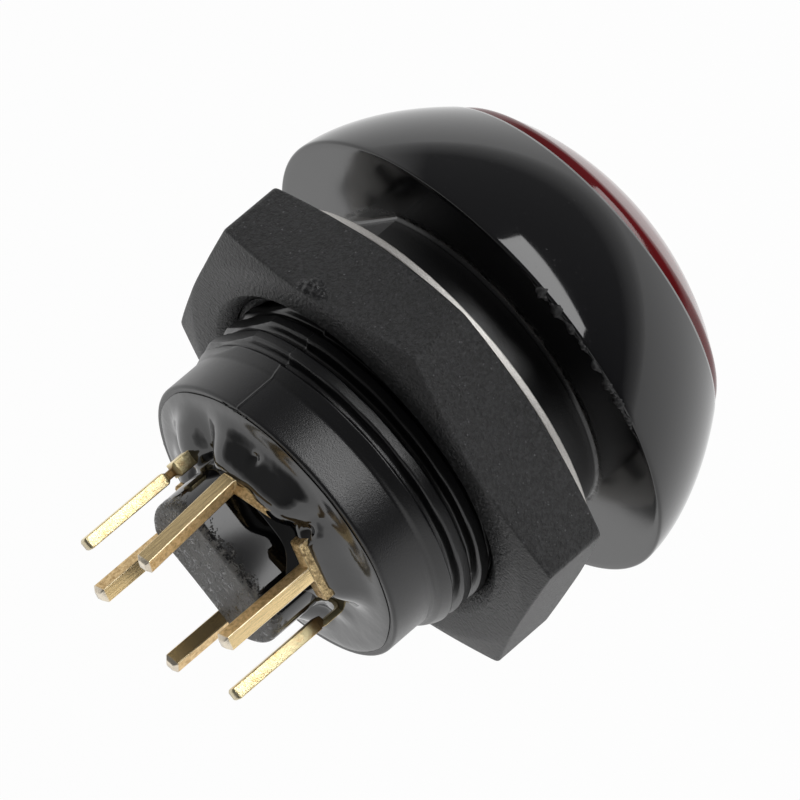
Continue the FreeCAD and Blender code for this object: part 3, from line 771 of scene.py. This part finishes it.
class Finish(Nodes):
    """A material: a surface shader whose constants are set on its own sockets and whose changing inputs are
    linked."""

    def __init__(self, name, **constants):
        self.material = bpy.data.materials.new(name)
        self.material.use_nodes = True
        super().__init__(self.material.node_tree)
        self.shader = self.node("ShaderNodeBsdfPrincipled")
        self.surface = self.shader.socket.node
        for socket, value in constants.items():
            self.surface.inputs[socket.replace("_", " ")].default_value = value
        raw = self.node("ShaderNodeTexCoord", {}, {}, "Object")
        self.place = self.node("ShaderNodeMapping", {}, {"Vector": raw, "Scale": (1 / MM,) * 3})

    def noise(self, per_mm, detail, rough=0.55, place=None):
        """Cloudy noise with a number of waves to the millimetre."""
        return self.node("ShaderNodeTexNoise", {}, {
            "Vector": place or self.place, "Scale": per_mm, "Detail": detail, "Roughness": rough})

    def cells(self, per_mm):
        """Distance to the nearest of scattered points, with a number of points to the millimetre."""
        return self.node("ShaderNodeTexVoronoi", {}, {"Vector": self.place, "Scale": per_mm}, "Distance")

    def scaled(self, x, y, z):
        """The place stretched along the axes."""
        return self.node("ShaderNodeMapping", {}, {"Vector": self.place, "Scale": (x, y, z)})

    def axis(self, name):
        """One coordinate of a point, in millimetres."""
        return self.node("ShaderNodeSeparateXYZ", {}, {0: self.place}, name)

    def radius(self):
        """Distance from the switch's axis, in millimetres."""
        across = self.scaled(1, 0, 1)
        return self.node("ShaderNodeVectorMath", {"operation": "LENGTH"}, {0: across}, "Value")

    def mark(self, name):
        """Value that a piece carries at its points."""
        return self.node("ShaderNodeAttribute", {"attribute_name": name}, {}, "Fac")

    def bump(self, height, distance):
        """Normal bent by a height of the given distance, in metres."""
        return self.node("ShaderNodeBump", {}, {"Height": height, "Distance": distance})

    def feed(self, shown=None, **inputs):
        """Links the changing inputs of the surface, shows it or a given mix of it, and gives the material."""
        for socket, value in inputs.items():
            self.tree.links.new(value.socket, self.surface.inputs[socket.replace("_", " ")])
        self.node("ShaderNodeOutputMaterial", {}, {"Surface": shown or self.shader})
        return self.material


def bezel_black():
    """Gloss moulded black on the dome and seat, satin on the bushing, with smudges, specks, and a pale ring at
    the neck's root that is partly dust and partly a painted highlight along the corner."""
    finish = Finish("bezel_black", IOR=1.56)
    smudge = finish.ramp(finish.noise(0.35, 4.0, 0.6), (0.35, 0.0), (0.75, 1.0))
    specks = finish.ramp(finish.noise(9.0, 2.0), (0.71, 0.0), (0.76, 1.0))
    depth, radius = finish.axis("Y"), finish.radius()
    behind = finish.ramp(depth * 0.1, (0.02, 0.0), (0.03, 1.0))
    under = finish.ramp(depth * 0.5 + 0.5, (0.45, 0.0), (0.485, 1.0))
    grain = finish.noise(13.0, 3.0, 0.6)
    root_r = 8.06
    off_neck = radius - root_r
    off_root = off_neck * off_neck + depth * depth
    root = finish.ramp(off_root, (0.0, 1.0), (0.012, 0.55), (0.05, 0.0))
    # pale ring at the neck's root, broken by noise: partly dust, partly a painted highlight along the corner
    root_dust_and_highlight = root * finish.ramp(finish.noise(2.2, 4.0, 0.7), (0.40, 0.0), (0.62, 1.0))
    black = finish.mix(specks * 0.6, (0.0050, 0.0050, 0.0060, 1), (0.030, 0.030, 0.032, 1))
    colour = finish.mix(root_dust_and_highlight * 0.10, black, (0.26, 0.25, 0.24, 1))
    rough = 0.05 + 0.05 * smudge + under * 0.07 + behind * 0.18 + specks * 0.08 + root_dust_and_highlight * 0.4
    height = behind * grain * 0.8 + (1 - behind) * smudge * 0.02 + specks * 0.1
    return finish.feed(Base_Color=colour, Roughness=rough, Normal=finish.bump(height, 0.012 * MM))


def flash_black():
    """Torn flash: dull black with pale broken edges."""
    finish = Finish("flash_black", IOR=1.5)
    torn = finish.noise(7.0, 4.0, 0.7)
    pale = finish.ramp(torn, (0.45, 0.0), (0.70, 1.0))
    colour = finish.mix(pale, (0.005, 0.005, 0.006, 1), (0.035, 0.035, 0.036, 1))
    return finish.feed(Base_Color=colour, Roughness=0.25 + 0.4 * torn, Normal=finish.bump(torn, 0.06 * MM))


def nut_black():
    """Matte black with glass filling: fine grain, light specks and shallow pits."""
    finish = Finish("nut_black", IOR=1.5, Specular_IOR_Level=0.55)
    grain = finish.noise(5.5, 3.0, 0.7)
    flecks = finish.ramp(finish.cells(4.2), (0.0, 1.0), (0.16, 0.7), (0.24, 0.0))
    specks = flecks * finish.ramp(finish.noise(5.0, 2.0), (0.50, 0.0), (0.72, 1.0))
    cloud = finish.noise(0.8, 3.0)
    raised = finish.ramp(grain, (0.43, 0.0), (0.62, 1.0))
    base = finish.mix(raised, (0.0005, 0.0005, 0.0006, 1), (0.030, 0.030, 0.032, 1))
    shaded = finish.mix(cloud * 0.4, base, (0.009, 0.009, 0.010, 1))
    colour = finish.mix(specks, shaded, (0.26, 0.26, 0.27, 1))
    return finish.feed(Base_Color=colour, Roughness=0.28 + 0.34 * grain,
                       Normal=finish.bump(grain + specks * 0.8, 0.13 * MM))


def gate_black():
    """Torn gate of the nut: smoother and darker than the moulded face, with pulled ripples."""
    finish = Finish("gate_black", IOR=1.5)
    pulled = finish.noise(4.0, 4.0, 0.6)
    colour = finish.mix(pulled, (0.006, 0.006, 0.007, 1), (0.020, 0.020, 0.021, 1))
    return finish.feed(Base_Color=colour, Roughness=0.14 + 0.3 * pulled,
                       Normal=finish.bump(pulled, 0.06 * MM))


def washer_steel():
    """Bare stamped steel: bright, with a fine grain."""
    finish = Finish("washer_steel", Metallic=1.0)
    grain = finish.noise(12.0, 3.0, 0.7)
    tint = finish.mix(grain, (0.42, 0.40, 0.38, 1), (0.80, 0.78, 0.75, 1))
    return finish.feed(Base_Color=tint, Roughness=0.34 + 0.25 * grain, Normal=finish.bump(grain, 0.03 * MM))


def lens_red():
    """Gloss dark red moulding with a faint flow and dust."""
    finish = Finish("lens_red", IOR=1.49, Transmission_Weight=0.15)
    flow = finish.noise(0.5, 3.0)
    specks = finish.ramp(finish.noise(6.0, 2.0), (0.72, 0.0), (0.78, 1.0))
    base = finish.mix(flow, (0.12, 0.004, 0.006, 1), (0.17, 0.006, 0.009, 1))
    colour = finish.mix(specks, base, (0.40, 0.10, 0.07, 1))
    return finish.feed(Base_Color=colour, Roughness=0.07 + 0.06 * flow)


def moulded(name, dark, light, rough):
    """Plain moulded plastic with a cloudy colour and a fine grain."""
    finish = Finish(name, IOR=1.49)
    grain = finish.noise(9.0, 3.0, 0.6)
    cloud = finish.noise(0.7, 2.0)
    return finish.feed(Base_Color=finish.mix(cloud, dark, light), Roughness=rough + 0.15 * grain,
                       Normal=finish.bump(grain, 0.01 * MM))


def base_black():
    """Moulding of the base: the boss's end matte, mottled and scored, its wall under a gloss film of resin
    that breaks up towards the end."""
    finish = Finish("base_black", IOR=1.52)
    mottle = finish.noise(2.4, 5.0, 0.7)
    grain = finish.noise(13.0, 3.0, 0.6)
    stretched = finish.noise(1.3, 3.0, 0.6, finish.scaled(2.2, 1.0, 0.7))
    scores = finish.ramp(stretched, (0.36, 0.0), (0.41, 1.0))
    film_end = finish.axis("Y") * 0.1 + (mottle - 0.5) * 0.26 + (grain - 0.5) * 0.20
    bare = finish.ramp(film_end * 0.5, (0.757, 0.0), (0.772, 1.0))
    matte = finish.mix(mottle * scores, (0.020, 0.020, 0.020, 1), (0.24, 0.235, 0.228, 1))
    colour = finish.mix(bare, (0.004, 0.004, 0.005, 1), matte)
    rough = 0.05 + bare * (0.34 + 0.25 * grain)
    height = bare * (mottle + 0.5 * grain + 0.5 * scores)
    return finish.feed(Base_Color=colour, Roughness=rough, Normal=finish.bump(height, 0.05 * MM))


def resin_black():
    """Poured gloss black resin with faint ripples and specks, duller by the rim."""
    finish = Finish("resin_black", IOR=1.56, Specular_IOR_Level=0.85)
    ripple = finish.noise(0.9, 2.0)
    specks = finish.ramp(finish.noise(8.0, 2.0), (0.74, 0.0), (0.79, 1.0))
    colour = finish.mix(specks, (0.003, 0.003, 0.004, 1), (0.03, 0.028, 0.025, 1))
    by_rim = finish.ramp(finish.radius() * 0.1, (0.56, 0.0), (0.65, 1.0))
    return finish.feed(Base_Color=colour, Roughness=0.05 + 0.03 * ripple + 0.13 * by_rim,
                       Normal=finish.bump(ripple, 0.03 * MM))


def terminal_gold():
    """Gold plate: smooth rolled faces, browner rough sheared ones, bright rubbed edges, silvery cut tips and
    brown stains on the plates by the resin."""
    finish = Finish("terminal_gold", Metallic=1.0)
    sheared, edge, cut, stain = (finish.mark(name) for name in ("sheared", "edge", "cut", "stain"))
    streak = finish.noise(3.0, 4.0, 0.7, finish.scaled(3, 0.25, 3))
    mottle = finish.noise(4.5, 4.0, 0.75)
    worn = finish.ramp(mottle, (0.42, 0.0), (0.66, 1.0))
    rolled = finish.mix(streak, (0.90, 0.67, 0.34, 1), (0.98, 0.77, 0.43, 1))
    torn = finish.mix(worn, (0.92, 0.68, 0.36, 1), (0.56, 0.37, 0.16, 1))
    faces = finish.mix(sheared, rolled, torn)
    rubbed = finish.mix(edge * 0.8, faces, (0.98, 0.84, 0.58, 1))
    dulled = finish.mix(stain * worn * 0.9, rubbed, (0.24, 0.15, 0.07, 1))
    colour = finish.mix(cut * 0.8, dulled, (0.82, 0.77, 0.68, 1))
    rough = 0.20 + 0.10 * streak + sheared * (0.10 + 0.18 * mottle) + stain * worn * 0.2
    height = streak * 0.5 + sheared * mottle * 1.6 + stain * mottle * 2.5
    return finish.feed(Base_Color=colour, Roughness=rough, Normal=finish.bump(height, 0.022 * MM))


def lead_gold():
    """Gold flash on the lamp's leads: pale, with orange patches, a brown stain by the short lead's nip,
    painted shade on the long lead's notch and dull cut ends.
    """
    finish = Finish("lead_gold", Metallic=1.0)
    stain, cut, edge = finish.mark("stain"), finish.mark("cut"), finish.mark("edge")
    patch = finish.ramp(finish.noise(2.2, 4.0, 0.7), (0.50, 0.0), (0.70, 1.0))
    grain = finish.noise(12.0, 3.0, 0.65)
    pale = finish.mix(grain, (0.86, 0.72, 0.40, 1), (0.97, 0.86, 0.54, 1))
    flushed = finish.mix(patch * 0.6, pale, (0.78, 0.42, 0.12, 1))
    rubbed = finish.mix(edge * 0.5, flushed, (0.62, 0.44, 0.18, 1))
    # darker brown by the mark: a stain by the short lead's nip, painted shade on the long lead's notch
    stained_and_shaded = finish.mix(stain * 0.85, rubbed, (0.20, 0.10, 0.03, 1))
    colour = finish.mix(cut * (0.5 + 0.5 * patch), stained_and_shaded, (0.45, 0.42, 0.36, 1))
    return finish.feed(Base_Color=colour, Roughness=0.24 + 0.2 * grain + stain * 0.2,
                       Normal=finish.bump(grain, 0.02 * MM))


def metal(name, dark, light, rough):
    """Drawn or pressed metal with a fine grain."""
    finish = Finish(name, Metallic=1.0)
    grain = finish.noise(10.0, 4.0, 0.65)
    return finish.feed(Base_Color=finish.mix(grain, dark, light), Roughness=rough + 0.18 * grain,
                       Normal=finish.bump(grain, 0.01 * MM))


def all_finishes():
    """Materials by the record's slot names."""
    return {
        "bezel_black": bezel_black(),
        "nut_black": nut_black(),
        "washer_steel": washer_steel(),
        "lens_red": lens_red(),
        "diffuser_white": moulded("diffuser_white", (0.72, 0.72, 0.70, 1), (0.82, 0.82, 0.80, 1), 0.45),
        "inner_black": moulded("inner_black", (0.018, 0.018, 0.019, 1), (0.03, 0.03, 0.031, 1), 0.4),
        "base_black": base_black(),
        "seal_rubber": moulded("seal_rubber", (0.016, 0.016, 0.016, 1), (0.028, 0.028, 0.028, 1), 0.6),
        "resin_black": resin_black(),
        "lamp_red": moulded("lamp_red", (0.45, 0.02, 0.02, 1), (0.60, 0.03, 0.03, 1), 0.08),
        "lead_gold": lead_gold(),
        "terminal_gold": terminal_gold(),
        "contact_silver": metal("contact_silver", (0.70, 0.69, 0.66, 1), (0.88, 0.87, 0.84, 1), 0.22),
        "bridge_brass": metal("bridge_brass", (0.62, 0.43, 0.17, 1), (0.82, 0.62, 0.30, 1), 0.26),
        "spring_steel": metal("spring_steel", (0.50, 0.50, 0.50, 1), (0.74, 0.74, 0.74, 1), 0.25),
    }


def dress_nodes(finishes):
    """Gives every CAD node the finish of its slot."""
    for entry in frame["record"]["subparts"]:
        obj = frame["nodes"][entry["node"]]
        obj.data.materials.clear()
        obj.data.materials.append(finishes[entry["material_slot"]])


def build_pieces(finishes):
    """Smooth pieces over the visible nodes and the springs, and the flash and gate that the moulds left."""
    def smooth(name, body, slot, grids, node, flat_sides=True):
        return piece(name, body, slot, finishes[slot], *grids, stands_for=(node,), flat_sides=flat_sides)

    smooth("housing_smooth", "switch_body", "bezel_black", [housing_grid()], "housing")
    smooth("lens_smooth", "button", "lens_red", [lens_grid()], "lens_cap", False)
    smooth("nut_smooth", "nut", "nut_black", [nut_grid()], "hex_nut")
    smooth("washer_smooth", "washer", "washer_steel", [washer_grid()], "lock_washer")
    smooth("base_smooth", "switch_body", "base_black", [base_grid()], "terminal_base")
    smooth("resin_smooth", "switch_body", "resin_black", [resin_grid()], "potting", False)
    for kind, row in (("nc", 1), ("no", -1)):
        for number, side in ((1, -1), (2, 1)):
            node = "%s_terminal_%d" % (kind, number)
            low, high = node_span(node)
            finger_depth = BASE_FRONT if kind == "no" else low[1] + FINGER_T
            grids = terminal_grids(row, side, high[1], finger_depth)
            smooth(node + "_smooth", "switch_body", "terminal_gold", grids, node)
    for node, row in (("led_anode_lead", 1), ("led_cathode_lead", -1)):
        tip = node_span(node)[1][1]
        smooth(node + "_smooth", "switch_body", "lead_gold", [lead_grid(row, tip)], node)
    for node, wire, pitch, seat, keep in SPRINGS:
        coil = coil_grid(node, wire, pitch)
        spring = smooth(node + "_coil", "switch_body", "spring_steel", [coil], node, False)
        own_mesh(spring)
    torn = flash_black()
    on_dome = flash_grid(first=107, last=152, radius=BEZEL_R - SEAT_EDGE - 0.04, depth=0.02, thick=0.25)
    by_resin = flash_grid(first=62, last=78, radius=RESIN_LIP_R + 0.10, depth=BUSHING_END, thick=0.07)
    piece("rim_flash", "switch_body", "bezel_black", torn, on_dome, flat_sides=False)
    piece("bore_flash", "switch_body", "bezel_black", torn, by_resin, flat_sides=False)
    piece("nut_gate", "nut", "nut_black", gate_black(), gate_grid(), flat_sides=False)


def add_camera():
    """Long lens at the photograph's place, rolled a little."""
    toward = Vector((math.sin(CAMERA_AZIMUTH) * math.cos(CAMERA_ELEVATION),
                     -math.cos(CAMERA_AZIMUTH) * math.cos(CAMERA_ELEVATION), math.sin(CAMERA_ELEVATION)))
    data = bpy.data.cameras.new("Camera")
    data.lens = CAMERA_LENS
    data.sensor_width = CAMERA_SENSOR
    data.clip_start = 0.01
    data.clip_end = 10
    camera = bpy.data.objects.new("Camera", data)
    camera.location = (CAMERA_AIM + toward * CAMERA_DISTANCE) * MM
    aimed = toward.to_track_quat("Z", "Y") @ Quaternion((0, 0, 1), CAMERA_ROLL)
    camera.rotation_euler = aimed.to_euler()
    bpy.context.scene.collection.objects.link(camera)
    bpy.context.scene.camera = camera


def add_softbox():
    """Rectangular soft light that faces straight down."""
    data = bpy.data.lights.new("softbox", "AREA")
    data.shape = "RECTANGLE"
    data.size = SOFTBOX_WIDTH * MM
    data.size_y = SOFTBOX_HEIGHT * MM
    data.energy = SOFTBOX_POWER
    light = bpy.data.objects.new("softbox", data)
    light.location = SOFTBOX_CENTRE * MM
    bpy.context.scene.collection.objects.link(light)


def add_world():
    """Dim room: white below the horizon, dark above it, with a bright end on the +X side."""
    world = bpy.data.worlds.new("Room")
    bpy.context.scene.world = world
    world.use_nodes = True
    nodes = Nodes(world.node_tree)
    direction = nodes.node("ShaderNodeTexCoord", {}, {}, "Generated")
    up = nodes.node("ShaderNodeSeparateXYZ", {}, {0: direction}, "Z")
    side = nodes.node("ShaderNodeSeparateXYZ", {}, {0: direction}, "X")
    walls = nodes.ramp(side * 0.5 + 0.5,
                       (0.0, 0.06), (0.45, 0.13), (0.87, 0.17), (0.965, 0.80), (1.0, 0.95))
    level = nodes.ramp(up * 0.5 + 0.5, (0.48, 0.0), (0.52, 0.55), (0.59, 1.0))
    colour = nodes.mix(level, (0.95, 0.95, 0.95, 1), walls)
    light = nodes.node("ShaderNodeBackground", {}, {"Color": colour, "Strength": 1.0})
    nodes.node("ShaderNodeOutputWorld", {}, {"Surface": light})


def add_floor():
    """Wide white floor well below the switch that keeps its soft shadow: mostly plain white of strength 1
    where it is seen directly or in gloss, and a lit matte white for all other light."""
    finish = Finish("floor_white", Roughness=0.9)
    cloud = finish.noise(0.004, 2.0)
    matte = finish.mix(cloud, (0.93, 0.93, 0.93, 1), (0.95, 0.95, 0.95, 1))
    white = finish.node("ShaderNodeEmission", {}, {"Color": (1, 1, 1, 1), "Strength": 1.0})
    share = finish.seen_directly() * FLOOR_SEEN_WHITE
    both = finish.node("ShaderNodeMixShader", {}, {0: share, 1: finish.shader, 2: white})
    finish.feed(shown=both, Base_Color=matte)
    level = cad_box[0][2] / MM - FLOOR_DROP
    mesh = bpy.data.meshes.new("floor")
    corners = np.array([(-1, -1), (1, -1), (1, 1), (-1, 1)]) * FLOOR_SIDE
    mesh.from_pydata((np.c_[corners, np.full(4, level)] * MM).tolist(), [], [(0, 1, 2, 3)])
    mesh.materials.append(finish.material)
    floor = bpy.data.objects.new("floor", mesh)
    bpy.context.scene.collection.objects.link(floor)


def light_scene():
    """Studio light: one softbox overhead, on the button's side of the switch, over a white floor in a dim
    room."""
    add_world()
    add_floor()
    add_softbox()
    bpy.context.scene.view_settings.view_transform = "Standard"


finishes = all_finishes()
dress_nodes(finishes)
build_pieces(finishes)
light_scene()
add_camera()
